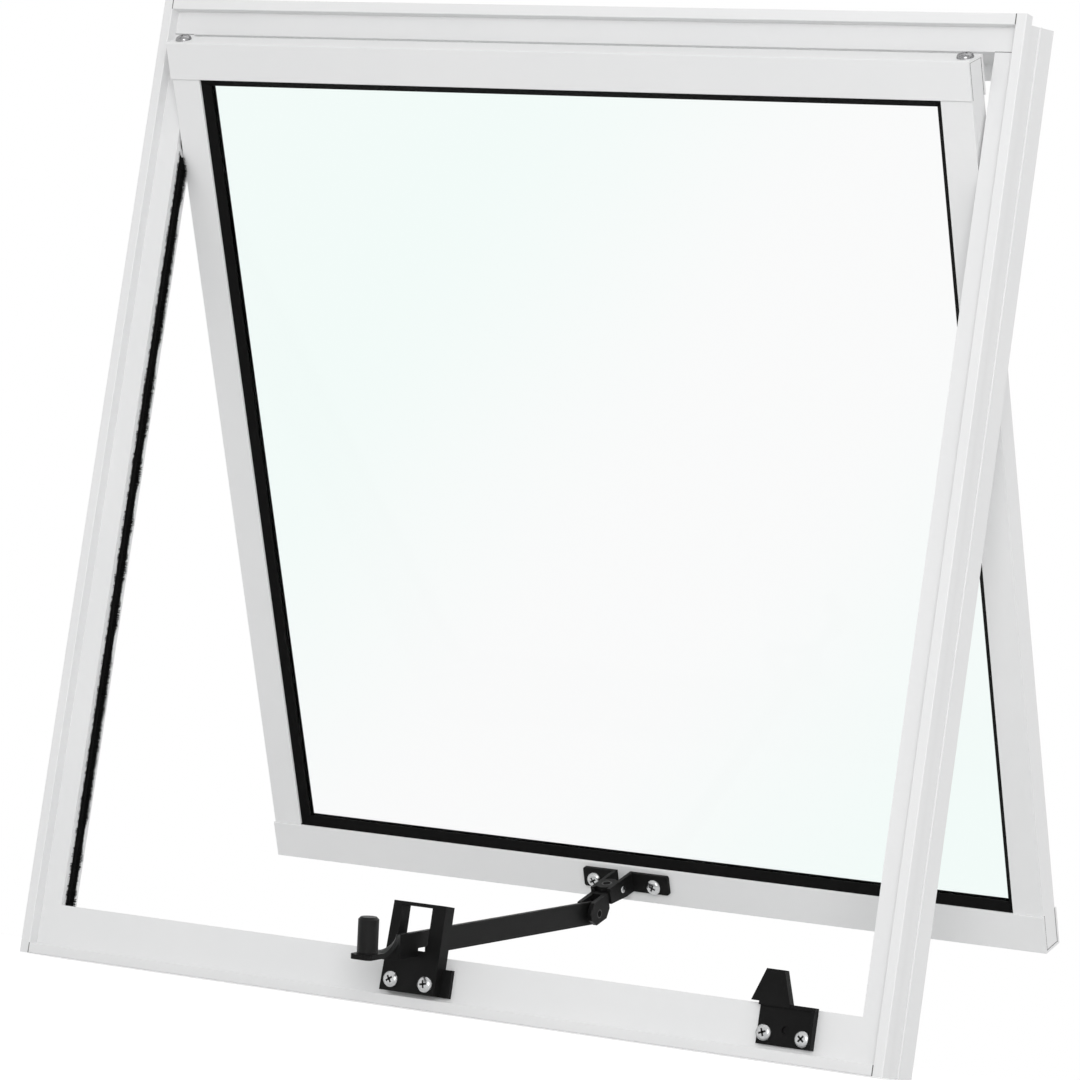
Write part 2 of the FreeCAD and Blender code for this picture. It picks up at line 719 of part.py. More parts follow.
def make_arm():
    """A flat bar from the tilt pin through the guide, with a quarter twist before its flat tab."""
    body = arm_body("stay_arm")
    bar = sketch_on(body, "YZ_Plane", "-arm_thick / 2")
    add_outline(bar, box_corners("-" + ARM_STRAIGHT, "-arm_height / 2", "arm_end", "arm_height / 2"))
    pad(body, bar, "arm_thick")
    end = value("arm_end")
    round_edges(body, "arm_height / 2 - arm_thick / 2",
                lambda middle, way: abs(way.x) > 0.99 and abs(middle.y - end) < 0.01)
    eye = sketch_on(body, "YZ_Plane", "-arm_thick / 2")
    add_circle(eye, "0", "0", "tilt_radius + pin_clear")
    pocket(body, eye, "arm_thick", forward=True)

    # A notch in the lower edge drops over the guide and holds the sash open
    notch = sketch_on(body, "YZ_Plane", "-arm_thick / 2")
    add_outline(notch, box_corners("-%s - arm_notch_clear" % ARM_RUN, "-arm_height / 2",
                                   "guide_depth + arm_notch_clear - %s" % ARM_RUN, "arm_notch - arm_height / 2"))
    pocket(body, notch, "arm_thick", forward=True)

    # The twist is quick at first and eases into the tab
    steps = 6
    sections = []
    for step in range(steps + 1):
        turned = 1 - (1 - step / steps) ** 1.5
        section = sketch_on(body, "XZ_Plane", "%s + arm_twist * %d / %d" % (ARM_STRAIGHT, step, steps))
        add_outline(section, box_corners("-arm_thick / 2", "-arm_height / 2", "arm_thick / 2", "arm_height / 2"))
        section.AttachmentOffset.Rotation.Axis = FreeCAD.Vector(0, 0, 1)
        bind(section, ".AttachmentOffset.Rotation.Angle", "-90 deg * %.4f" % turned)
        bind(section, ".AttachmentOffset.Base.y", "-arm_tab_drop * %d / %d" % (step, steps))
        sections.append(section)
    twist = body.newObject("PartDesign::AdditiveLoft", "stay_arm_twist")
    twist.Profile = sections[0]
    twist.Sections = sections[1:]
    twist.Ruled = False
    doc.recompute()

    tab = sketch_on(body, "XY_Plane", "-arm_thick / 2 - arm_tab_drop")
    far = "-" + ARM_LENGTH
    add_outline(tab, box_corners("-arm_height / 2", far, "arm_height / 2", "arm_tab - " + ARM_LENGTH))
    pad(body, tab, "arm_thick")
    tab_end = value(far)
    round_edges(body, "arm_thick",
                lambda middle, way: abs(way.z) > 0.99 and abs(middle.y - tab_end) < 0.01)


def make_knob():
    body = arm_body("arm_knob")
    sketch = sketch_on(body, "XY_Plane", "arm_thick / 2 - arm_tab_drop")
    add_circle(sketch, "0", "knob_edge - " + ARM_LENGTH, "knob_radius")
    pad(body, sketch, "knob_height")
    solid = body.Tip
    rim = ["Edge%d" % index for index, edge in enumerate(solid.Shape.Edges, start=1)
           if isinstance(edge.Curve, Part.Circle) and edge.CenterOfMass.z > value("knob_height / 2")]
    chamfer = body.newObject("PartDesign::Chamfer", "arm_knob_chamfer")
    chamfer.Base = (solid, rim)
    bind(chamfer, "Size", "knob_chamfer")
    doc.recompute()


def make_guide():
    """The loop that the arm slides through, screwed to the sill's upstand."""
    body = new_body("arm_guide")
    seat = "(%s + lip_depth)" % FRONT

    def spot(across, up):
        return ("stay_offset + (%s)" % across, up)

    # The plane's normal points to the room
    loop = sketch_on(body, "XZ_Plane", "-" + seat)
    add_outline(loop, [
        spot("-guide_foot_left", "guide_low"),
        spot("guide_right", "guide_low"),
        spot("guide_right", "guide_top"),
        spot("-guide_left", "guide_top"),
    ])
    add_outline(loop, [
        spot("-guide_window_left", "guide_window_low"),
        spot("guide_window_right", "guide_window_low"),
        spot("guide_window_right", "guide_window_top"),
        spot("-guide_window_left", "guide_window_top"),
    ])
    pad(body, loop, "guide_depth")
    tab = sketch_on(body, "XZ_Plane", "-" + seat)
    add_outline(tab, [
        spot("guide_right", "guide_low"),
        spot("guide_right + guide_tab", "guide_low"),
        spot("guide_right + guide_tab", "guide_low + guide_tab_height"),
        spot("guide_right", "guide_low + guide_tab_height"),
    ])
    pad(body, tab, "guide_tab_thick")


def make_keep():
    """The hook that holds the arm's inner end when the window is shut."""
    body = new_body("locking_keep")
    seat = "(%s + lip_depth)" % FRONT
    top = "keep_low + keep_height"

    def spot(across, up):
        return ("%s - jamb_face - keep_inset + (%s)" % (HALF, across), up)

    base = sketch_on(body, "XZ_Plane", "-" + seat)
    add_outline(base, [
        spot("-keep_width / 2", "keep_low"),
        spot("keep_width / 2", "keep_low"),
        spot("keep_width / 2", top),
        spot("-keep_width / 2", top),
    ])
    pad(body, base, "keep_thick")
    recess = sketch_on(body, "XZ_Plane", "keep_thick - " + seat)
    add_outline(recess, [
        spot("-keep_width", "0"),
        spot("keep_width / 2 - keep_rim", "0"),
        spot("keep_width / 2 - keep_rim", top + " - keep_rim"),
        spot("-keep_width", top + " - keep_rim"),
    ])
    pocket(body, recess, "keep_recess")
    hole = sketch_on(body, "XZ_Plane", "keep_thick - keep_recess - " + seat)
    add_circle(hole, *spot("0", "keep_low + keep_hole_rise"), "keep_hole")
    pocket(body, hole, "keep_hole_depth")
    hook = sketch_on(body, "XZ_Plane", "-" + seat)
    add_outline(hook, [
        spot("-keep_width / 2", top + " - keep_rim"),
        spot("keep_hook_foot - keep_width / 2", top + " - keep_rim"),
        spot("keep_hook_foot - keep_width / 2", top),
        spot("keep_hook_tip + keep_rim - keep_width / 2", top + " + keep_hook_height"),
        spot("keep_hook_lean - keep_hook_reach - keep_width / 2", top + " + keep_hook_height"),
        spot("-keep_hook_reach - keep_width / 2", top),
        spot("-keep_width / 2", top),
    ])
    pad(body, hook, "keep_hook_thick")


make_sill()
make_head()
make_jamb("frame_left_jamb", -1)
make_jamb("frame_right_jamb", 1)
make_pile_seal("left_pile_seal", -1)
make_pile_seal("right_pile_seal", 1)
make_rail("sash_top_rail", SASH_TOP, 1)
make_rail("sash_bottom_rail", SASH_LOW, -1)
make_stile("sash_left_stile", -1)
make_stile("sash_right_stile", 1)
make_glass()
make_rail_gasket("glazing_gasket_top", SASH_TOP, 1)
make_rail_gasket("glazing_gasket_bottom", SASH_LOW, -1)
make_stile_gasket("glazing_gasket_left", -1)
make_stile_gasket("glazing_gasket_right", 1)
make_pivot_pin("left_pivot_pin", -1)
make_pivot_pin("right_pivot_pin", 1)
make_bracket()
make_fork()
make_swivel_pin()
make_tilt_pin()
make_arm()
make_knob()
make_guide()
make_keep()

doc.recompute()
for item in doc.Objects:
    if "Invalid" in item.State or "Error" in item.State:
        raise RuntimeError("failed: " + item.Name)
for body in bodies:
    shape = body.Shape
    if shape.isNull() or not shape.isValid() or len(shape.Solids) != 1:
        raise RuntimeError("not one sound solid: " + body.Label)

os.makedirs("parts", exist_ok=True)
for body in bodies:
    body.Shape.exportStep("parts/%s.step" % body.Label)
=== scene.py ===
import math
import random

import bmesh
import bpy
from mathutils import Matrix, Vector


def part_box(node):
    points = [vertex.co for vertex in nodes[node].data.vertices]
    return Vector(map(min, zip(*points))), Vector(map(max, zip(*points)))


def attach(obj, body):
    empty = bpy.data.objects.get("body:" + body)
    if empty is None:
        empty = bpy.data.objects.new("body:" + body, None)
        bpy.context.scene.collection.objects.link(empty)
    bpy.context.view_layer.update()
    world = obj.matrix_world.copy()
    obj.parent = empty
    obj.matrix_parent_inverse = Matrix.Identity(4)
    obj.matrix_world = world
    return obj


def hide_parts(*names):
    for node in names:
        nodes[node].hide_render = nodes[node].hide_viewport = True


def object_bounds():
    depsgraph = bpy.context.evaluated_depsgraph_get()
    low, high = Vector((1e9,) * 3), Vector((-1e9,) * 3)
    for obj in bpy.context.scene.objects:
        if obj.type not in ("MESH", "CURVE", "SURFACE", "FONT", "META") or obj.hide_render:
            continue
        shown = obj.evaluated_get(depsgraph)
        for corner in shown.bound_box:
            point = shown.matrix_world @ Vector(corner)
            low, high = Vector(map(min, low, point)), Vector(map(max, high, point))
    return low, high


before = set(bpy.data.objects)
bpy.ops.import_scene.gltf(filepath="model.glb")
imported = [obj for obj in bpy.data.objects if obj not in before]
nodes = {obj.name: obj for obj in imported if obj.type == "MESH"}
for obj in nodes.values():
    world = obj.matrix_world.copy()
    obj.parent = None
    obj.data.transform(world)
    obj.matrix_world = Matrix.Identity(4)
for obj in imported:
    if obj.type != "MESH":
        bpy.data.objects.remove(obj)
cad_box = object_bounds()

MM = 0.001
WHITE = (1.0, 1.0, 1.0, 1.0)
PEEL_STRENGTH = 0.35

# Camera, read from the photograph's perspective
CAMERA_PLACE = (1.5498, -2.4531, 0.0111)
CAMERA_TARGET = (0.0158, -0.001, 0.2831)
CAMERA_ROLL = math.radians(8.2125)
CAMERA_LENS = 164.25
CAMERA_SENSOR = 36.0

# Light: an even room, a softbox in front on the right and a wide light from above, with a pale floor
ROOM_LEVEL = 0.69
KEY_PLACE = (1.8, -3.0, 0.72)
KEY_TARGET = (0.0, 0.0, 0.3)
KEY_SIZE = 1.3
KEY_WATTS = 46.0
TOP_PLACE = (0.4, 1.2, 3.0)
TOP_TARGET = (0.0, 0.1, 0.3)
TOP_SPREAD = math.radians(70.0)
TOP_STRENGTH = 0.75
FLOOR_SIZE = 14.0
FLOOR_GAP = 0.5 * MM
FLOOR_TONE = 0.64
FLOOR_LIFT = 0.46

# The glass has a painted sheen, a pale band that stands in for a reflection on a rising diagonal: its
# direction across, its place and its width in metres
GLASS_SHEEN_ACROSS = (0.70, 0.0, -0.72)
GLASS_SHEEN_MIDDLE = -0.165
GLASS_SHEEN_DRIFT = 0.04
GLASS_SHEEN_FULL = 0.03
GLASS_SHEEN_EDGE = 0.24
GLASS_SHEEN_COLOUR = (0.955, 0.96, 0.96)
GLASS_GREEN = (0.890, 0.965, 0.942)
GLASS_IOR = 1.12

# The sash's pivot axis, taken from the pins, and how far the sash stands open
pin_low, pin_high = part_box("left_pivot_pin")
OPEN_ANGLE = math.radians(27.6)
PIVOT = Vector((0.0, (pin_low.y + pin_high.y) / 2, (pin_low.z + pin_high.z) / 2))
SASH_FRAME = Matrix.Translation(PIVOT) @ Matrix.Rotation(OPEN_ANGLE, 4, "X")

# The sash's section and ends, measured from its pivot, and the frame's section
SASH_FACE = -8.8 * MM
SASH_TOP = 66.2 * MM
SASH_LOW = -477.0 * MM
SECTION_WALL = 1.4 * MM
RAIL_FACE = 23.3 * MM
LIP_WIDTH = 6.6 * MM
LIP_DEPTH = 7.5 * MM
HEAD_FACE = 20.8 * MM

# Screw heads with a cross recess, with a dark cross block in each recess as painted shade, and the rivet on
# the bracket
HEAD_STEPS = 32
SMOOTH_ANGLE = math.radians(40.0)
MERGE_DISTANCE = 1e-6
SCREW_RADIUS = 5.0 * MM
SCREW_HEIGHT = 2.9 * MM
SCREW_OUTLINE = [(0.0, 1.0), (0.62, 0.94), (0.9, 0.66), (1.0, 0.24), (1.0, 0.0)]
RECESS_WIDTH = 1.5 * MM
RECESS_LENGTH = 6.0 * MM
RECESS_DEPTH = 1.9 * MM
RECESS_TAPER = 0.6
RECESS_FILL = 0.55 * MM
RIVET_RADIUS = 2.2 * MM
RIVET_HEIGHT = 0.7 * MM
RIVET_BEVEL = 0.7

# Places of the screws and the rivet on their pieces, and the turns of the screws in degrees
GUIDE_SCREWS = ((7.6 * MM, 6.8 * MM), (31.4 * MM, 6.4 * MM))
GUIDE_TURNS = (35, 12)
KEEP_SCREWS = ((-10.6 * MM, 6.6 * MM), (14.2 * MM, 5.8 * MM))
KEEP_TURNS = (20, 50)
KEEP_PLATE = 2.6 * MM
BRACKET_SCREWS = (-20.7 * MM, 22.3 * MM)
BRACKET_TURNS = (30, 65)
BRACKET_SCREW_Z = -464.5 * MM
BRACKET_PLATE = 2.4 * MM
TOP_RAIL_SCREWS = (-271 * MM, 272 * MM)
TOP_RAIL_TURNS = (10, 55)
STAY_X = -12.1 * MM
RIVET_PLACE = (STAY_X + 7.0 * MM, SASH_FACE - 14.6 * MM, -463.2 * MM)

# Hairline joints, where the frame's and the sash's sections meet: real gaps, drawn as thin strips whose dark
# grey is painted shade
JOINT_WIDTH = 0.40 * MM
LIP_JOINT = 0.55 * MM
JOINT_FRONT = 1.3 * MM
JOINT_SUNK = 0.20 * MM
JOINT_PROUD = 0.05 * MM

# Pile brushes: fibres in rows on a woven base, in clumps of uneven length, with a loose fringe on the wall
PILE_PITCH = 0.55 * MM
PILE_ROWS = 8
PILE_RUN = 30.0 * MM
PILE_KINDS = 5
PILE_DIP = 0.45
PILE_CROWN = 0.32
PILE_CLUMP = 3
PILE_CLEAR = 0.2 * MM
PILE_BASE = 0.8 * MM
BASE_WIDTH = 1.76
CORE_WIDTH = 1.24
CORE_REACH = 0.50
ROW_SPREAD = 0.58
ROW_LEAN = 0.22
WORN_BRUSH = 1.50
NEAT_BRUSH = 0.86
CLUMP_SHARE = (0.80, 1.06)
FIBRE_SHARE = (0.94, 1.02)
FIBRE_RADIUS = 0.20 * MM
FIBRE_TAPER = 0.45
FIBRE_SIDES = 3
FOOT_STRAY = 0.2 * MM
LEAN_STRAY = (0.09, 0.10)
FRINGE_FOOT = 0.80
FRINGE_STRAY = 0.2
FRINGE_LENGTH = (0.3 * MM, 2.2 * MM)
FRINGE_RADIUS = 0.36 * MM
CUT_DISTANCE = 1e-7

WHITE_NODES = ("frame_head", "frame_sill", "frame_left_jamb", "frame_right_jamb", "sash_top_rail",
               "sash_bottom_rail", "sash_left_stile", "sash_right_stile")
GASKET_NODES = ("glazing_gasket_top", "glazing_gasket_bottom", "glazing_gasket_left", "glazing_gasket_right")
HARDWARE_NODES = ("arm_guide", "stay_arm", "swivel_fork", "sash_bracket", "locking_keep")
PIN_NODES = ("left_pivot_pin", "right_pivot_pin", "swivel_pin", "tilt_pin")


# Materials

def add_socket(group, name, direction, kind, value=None):
    socket = group.interface.new_socket(name, in_out=direction, socket_type=kind)
    if value is not None:
        socket.default_value = value


def add_node(tree, kind, **settings):
    node = tree.nodes.new(kind)
    for name, value in settings.items():
        setattr(node, name, value)
    return node


def map_range(tree, source, low, high):
    """A 0 to 1 value spread between low and high."""
    node = add_node(tree, "ShaderNodeMapRange")
    node.inputs["To Min"].default_value = low
    node.inputs["To Max"].default_value = high
    tree.links.new(source, node.inputs["Value"])
    return node.outputs["Result"]


def mix_colours(tree, factor, first, second):
    node = add_node(tree, "ShaderNodeMix", data_type="RGBA")
    node.inputs["A"].default_value = (*first, 1.0)
    node.inputs["B"].default_value = (*second, 1.0)
    tree.links.new(factor, node.inputs["Factor"])
    return node.outputs["Result"]


def grey(level):
    """A neutral colour."""
    return (level, level, level)


def build_paint_skin():
    """Orange peel and slow mottling, shared by every painted or moulded skin."""
    group = bpy.data.node_groups.new("paint_skin", "ShaderNodeTree")
    add_socket(group, "Vector", "INPUT", "NodeSocketVector")
    add_socket(group, "Peel Scale", "INPUT", "NodeSocketFloat", 900.0)
    add_socket(group, "Mottle Scale", "INPUT", "NodeSocketFloat", 14.0)
    add_socket(group, "Peel", "OUTPUT", "NodeSocketFloat")
    add_socket(group, "Mottle", "OUTPUT", "NodeSocketFloat")
    inside = add_node(group, "NodeGroupInput")
    outside = add_node(group, "NodeGroupOutput")
    peel = add_node(group, "ShaderNodeTexNoise")
    peel.inputs["Detail"].default_value = 3.0
    mottle = add_node(group, "ShaderNodeTexNoise")
    mottle.inputs["Detail"].default_value = 4.0
    mottle.inputs["Roughness"].default_value = 0.55
    for texture, scale, output in ((peel, "Peel Scale", "Peel"), (mottle, "Mottle Scale", "Mottle")):
        group.links.new(inside.outputs["Vector"], texture.inputs["Vector"])
        group.links.new(inside.outputs[scale], texture.inputs["Scale"])
        group.links.new(texture.outputs["Fac"], outside.inputs[output])
    return group


def skin_material(name, dark, light, smooth, rough, peel_scale, peel_depth, specular=0.5, mottle_scale=14.0):
    """A skin with slow colour and gloss changes and a fine peel."""
    material = bpy.data.materials.new(name)
    material.use_nodes = True
    tree = material.node_tree
    shader = tree.nodes["Principled BSDF"]
    shader.inputs["Specular IOR Level"].default_value = specular
    place = add_node(tree, "ShaderNodeTexCoord")
    skin = add_node(tree, "ShaderNodeGroup", node_tree=PAINT_SKIN)
    skin.inputs["Peel Scale"].default_value = peel_scale
    skin.inputs["Mottle Scale"].default_value = mottle_scale
    tree.links.new(place.outputs["Object"], skin.inputs["Vector"])
    tree.links.new(mix_colours(tree, skin.outputs["Mottle"], dark, light), shader.inputs["Base Color"])
    tree.links.new(map_range(tree, skin.outputs["Mottle"], smooth, rough), shader.inputs["Roughness"])
    bump = add_node(tree, "ShaderNodeBump")
    bump.inputs["Strength"].default_value = PEEL_STRENGTH
    bump.inputs["Distance"].default_value = peel_depth
    tree.links.new(skin.outputs["Peel"], bump.inputs["Height"])
    tree.links.new(bump.outputs["Normal"], shader.inputs["Normal"])
    return material


def zinc_material(name, dark, light, smooth, rough, mottle_scale):
    """Bare zinc plate, with the same fine peel on every screw."""
    material = skin_material(name, dark, light, smooth, rough, peel_scale=1500.0, peel_depth=0.00006,
                             mottle_scale=mottle_scale)
    material.node_tree.nodes["Principled BSDF"].inputs["Metallic"].default_value = 1.0
    return material


def glass_material():
    """Clear float glass with a faint green tint and a painted sheen: a pale band on a rising diagonal of the
    pane, where the tint gives way to near white.
    """
    material = bpy.data.materials.new("clear_glass")
    material.use_nodes = True
    tree = material.node_tree
    shader = tree.nodes["Principled BSDF"]
    shader.inputs["Transmission Weight"].default_value = 1.0
    shader.inputs["Roughness"].default_value = 0.0
    shader.inputs["IOR"].default_value = GLASS_IOR
    place = add_node(tree, "ShaderNodeTexCoord")
    # The pale band is painted sheen, a reflection drawn into the glass's colour: pale near the diagonal,
    # green away from it
    across = add_node(tree, "ShaderNodeVectorMath", operation="DOT_PRODUCT")
    across.inputs[1].default_value = GLASS_SHEEN_ACROSS
    tree.links.new(place.outputs["Object"], across.inputs[0])
    wave = add_node(tree, "ShaderNodeTexNoise")
    wave.inputs["Scale"].default_value = 5.0
    wave.inputs["Detail"].default_value = 1.0
    tree.links.new(place.outputs["Object"], wave.inputs["Vector"])
    drift = add_node(tree, "ShaderNodeMath", operation="MULTIPLY_ADD")
    drift.inputs[1].default_value = GLASS_SHEEN_DRIFT
    tree.links.new(wave.outputs["Fac"], drift.inputs[0])
    tree.links.new(across.outputs["Value"], drift.inputs[2])
    middle = add_node(tree, "ShaderNodeMath", operation="SUBTRACT")
    middle.inputs[1].default_value = GLASS_SHEEN_MIDDLE
    tree.links.new(drift.outputs[0], middle.inputs[0])
    away = add_node(tree, "ShaderNodeMath", operation="ABSOLUTE")
    tree.links.new(middle.outputs[0], away.inputs[0])
    sheen_fade = add_node(tree, "ShaderNodeMapRange", interpolation_type="SMOOTHSTEP")
    sheen_fade.inputs["From Min"].default_value = GLASS_SHEEN_FULL
    sheen_fade.inputs["From Max"].default_value = GLASS_SHEEN_EDGE
    tree.links.new(away.outputs[0], sheen_fade.inputs["Value"])
    tint_and_sheen = mix_colours(tree, sheen_fade.outputs["Result"], GLASS_SHEEN_COLOUR, GLASS_GREEN)
    tree.links.new(tint_and_sheen, shader.inputs["Base Color"])
    return material


def seen_rays(tree):
    """One for rays of the camera, of shiny surfaces and of glass, none for the rest."""
    ray = add_node(tree, "ShaderNodeLightPath")
    direct = add_node(tree, "ShaderNodeMath", operation="MAXIMUM")
    tree.links.new(ray.outputs["Is Camera Ray"], direct.inputs[0])
    tree.links.new(ray.outputs["Is Glossy Ray"], direct.inputs[1])
    every = add_node(tree, "ShaderNodeMath", operation="MAXIMUM")
    tree.links.new(direct.outputs[0], every.inputs[0])
    tree.links.new(ray.outputs["Is Transmission Ray"], every.inputs[1])
    return every.outputs[0]


def floor_material():
    """A pale floor that the camera sees as white and that still shows the window's shadow."""
    material = bpy.data.materials.new("pale_floor")
    material.use_nodes = True
    tree = material.node_tree
    shader = tree.nodes["Principled BSDF"]
    shader.inputs["Base Color"].default_value = (*grey(FLOOR_TONE), 1.0)
    shader.inputs["Roughness"].default_value = 0.9
    shader.inputs["Specular IOR Level"].default_value = 0.1
    lift = add_node(tree, "ShaderNodeMath", operation="MULTIPLY")
    lift.inputs[1].default_value = FLOOR_LIFT
    tree.links.new(seen_rays(tree), lift.inputs[0])
    shader.inputs["Emission Color"].default_value = WHITE
    tree.links.new(lift.outputs[0], shader.inputs["Emission Strength"])
    return material


PAINT_SKIN = build_paint_skin()
WHITE_PAINT = skin_material("white_powder_coat", (0.775, 0.78, 0.785), grey(0.82), smooth=0.36, rough=0.48,
                            peel_scale=700.0, peel_depth=0.00008)
BLACK_PAINT = skin_material("black_paint", grey(0.005), grey(0.011), smooth=0.34, rough=0.50,
                            peel_scale=1300.0, peel_depth=0.00012, specular=0.07, mottle_scale=60.0)
BLACK_PLASTIC = skin_material("black_plastic", grey(0.005), grey(0.010), smooth=0.34, rough=0.46,
                              peel_scale=900.0, peel_depth=0.00010, specular=0.14, mottle_scale=80.0)
GASKET_RUBBER = skin_material("gasket_rubber", grey(0.003), grey(0.007), smooth=0.55, rough=0.72,
                              peel_scale=500.0, peel_depth=0.00015, specular=0.05, mottle_scale=40.0)
PILE_FIBRE = skin_material("pile_fibre", grey(0.003), grey(0.008), smooth=0.75, rough=0.9,
                           peel_scale=2500.0, peel_depth=0.00010, specular=0.1, mottle_scale=300.0)
SCREW_ZINC = zinc_material("screw_zinc", (0.36, 0.37, 0.38), grey(0.68), smooth=0.18, rough=0.32,
                           mottle_scale=500.0)
# Darker zinc for the two screws on the top rail: painted shade, as those heads sit in shadow
SHADED_ZINC = zinc_material("zinc_painted_shade", (0.10, 0.10, 0.11), grey(0.46), smooth=0.20, rough=0.36,
                          mottle_scale=700.0)
# Near black for the blocks in the screw recesses: painted shade
RECESS_PAINTED_SHADE = skin_material("recess_shadow", grey(0.010), grey(0.030), smooth=0.5, rough=0.7,
                            peel_scale=1500.0, peel_depth=0.00006, specular=0.2, mottle_scale=500.0)
# Dark grey for the hairline joints: painted shade in real gaps
JOINT_SHADE = skin_material("joint_shade", grey(0.09), grey(0.16), smooth=0.6, rough=0.8,
                            peel_scale=1500.0, peel_depth=0.00006, specular=0.2, mottle_scale=200.0)
PIN_ZINC = skin_material("black_zinc", grey(0.012), grey(0.03), smooth=0.28, rough=0.42,
                         peel_scale=1500.0, peel_depth=0.00008, specular=0.3, mottle_scale=300.0)
CLEAR_GLASS = glass_material()


def paint(names, material):
    """One finish for all the named pieces."""
    for name in names:
        mesh = nodes[name].data
        mesh.materials.clear()
        mesh.materials.append(material)


paint(WHITE_NODES, WHITE_PAINT)
paint(GASKET_NODES, GASKET_RUBBER)
paint(HARDWARE_NODES, BLACK_PAINT)
paint(PIN_NODES, PIN_ZINC)
paint(("arm_knob",), BLACK_PLASTIC)
paint(("glass_pane",), CLEAR_GLASS)


# New pieces

def finish_piece(name, bm, material):
    """Turns a bmesh into a piece that rides on the window."""
    mesh = finish_mesh(name, bm)
    mesh.materials.append(material)
    piece = bpy.data.objects.new(name, mesh)
    bpy.context.scene.collection.objects.link(piece)
    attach(piece, "root")
    return piece


def finish_mesh(name, bm):
    """Turns a bmesh into a mesh."""
    mesh = bpy.data.meshes.new(name)
    bm.to_mesh(mesh)
    bm.free()
    return mesh


def cross_mesh(name, depth, middle):
    """Two crossed blocks that narrow towards the seat, on the z axis with their middle height given."""
    bm = bmesh.new()
    for turn in (0.0, math.pi / 2):
        made = bmesh.ops.create_cube(bm, size=1.0)["verts"]
        bmesh.ops.scale(bm, vec=(RECESS_LENGTH, RECESS_WIDTH, depth), verts=made)
        low = [vert for vert in made if vert.co.z < 0]
        bmesh.ops.scale(bm, vec=(RECESS_TAPER, RECESS_TAPER, 1.0), verts=low)
        bmesh.ops.rotate(bm, cent=(0, 0, 0), matrix=Matrix.Rotation(turn, 3, "Z"), verts=made)
        bmesh.ops.translate(bm, vec=(0, 0, middle), verts=made)
    return finish_mesh(name, bm)


def screw_head_mesh():
    """One pan head with a cross recess, on the z axis with its seat at zero."""
    bm = bmesh.new()
    spots = [bm.verts.new((reach * SCREW_RADIUS, 0.0, height * SCREW_HEIGHT))
             for reach, height in SCREW_OUTLINE]
    edges = [bm.edges.new(pair) for pair in zip(spots, spots[1:])]
    bmesh.ops.spin(bm, geom=spots + edges, cent=(0, 0, 0), axis=(0, 0, 1), angle=math.tau, steps=HEAD_STEPS,
                   use_merge=True)
    bmesh.ops.remove_doubles(bm, verts=bm.verts, dist=MERGE_DISTANCE)
    bmesh.ops.holes_fill(bm, edges=bm.edges, sides=0)
    bmesh.ops.recalc_face_normals(bm, faces=bm.faces)
    head = finish_mesh("screw_head", bm)

    cross = cross_mesh("screw_cross", 2 * RECESS_DEPTH, SCREW_HEIGHT)
    head_object = bpy.data.objects.new("screw_head", head)
    cross_object = bpy.data.objects.new("screw_cross", cross)
    for item in (head_object, cross_object):
        bpy.context.scene.collection.objects.link(item)
    cut = head_object.modifiers.new("cross", "BOOLEAN")
    cut.operation = "DIFFERENCE"
    cut.solver = "EXACT"
    cut.use_self = True
    cut.object = cross_object
    shape = bpy.data.meshes.new_from_object(head_object.evaluated_get(bpy.context.evaluated_depsgraph_get()))
    for item in (head_object, cross_object):
        bpy.data.objects.remove(item)
    return shape


def rivet_mesh():
    """A flat-topped rivet head with a bevelled rim, on the z axis with its seat at zero."""
    bm = bmesh.new()
    bmesh.ops.create_cone(bm, cap_ends=True, segments=HEAD_STEPS, radius1=RIVET_RADIUS, radius2=RIVET_RADIUS,
                          depth=RIVET_HEIGHT)
    bmesh.ops.translate(bm, vec=(0, 0, RIVET_HEIGHT / 2), verts=bm.verts)
    rim = [edge for edge in bm.edges if all(vert.co.z > RIVET_HEIGHT / 2 for vert in edge.verts)]
    bmesh.ops.bevel(bm, geom=rim, offset=RIVET_HEIGHT * RIVET_BEVEL, offset_type="OFFSET", affect="EDGES",
                    segments=3, profile=0.5, material=-1)
    return finish_mesh("rivet", bm)


SCREW_HEAD = screw_head_mesh()
# A dark cross block sunk in each recess, as painted shade where the recess lies in shadow
RECESS_SHADE_BLOCK = cross_mesh("recess_shade_block", RECESS_DEPTH, SCREW_HEIGHT - RECESS_FILL - RECESS_DEPTH / 2)


def add_copies(name, shape, places, normal, turns, parent, material):
    """Copies of a small mesh at the places, standing along the normal."""
    bm = bmesh.new()
    stand = Vector(normal).to_track_quat("Z", "Y").to_matrix().to_4x4()
    for place, turn in zip(places, turns):
        first = len(bm.verts)
        bm.from_mesh(shape)
        bm.verts.ensure_lookup_table()
        spun = parent @ Matrix.Translation(place) @ stand @ Matrix.Rotation(math.radians(turn), 4, "Z")
        bmesh.ops.transform(bm, matrix=spun, verts=bm.verts[first:])
    return finish_piece(name, bm, material)


def smooth_piece(piece):
    """Smooth shading that keeps the sharp edges."""
    piece.data.shade_smooth()
    piece.data.set_sharp_from_angle(angle=SMOOTH_ANGLE)


def add_screws(name, places, normal, turns, parent=Matrix(), finish=SCREW_ZINC):
    """Pan heads at the places, facing along the normal, with a dark cross block in each driver recess as
    painted shade.
    """
    smooth_piece(add_copies(name, SCREW_HEAD, places, normal, turns, parent, finish))
    # The dark blocks in the recesses are painted shade
    add_copies(name + "_recess_shade", RECESS_SHADE_BLOCK, places, normal, turns, parent, RECESS_PAINTED_SHADE)


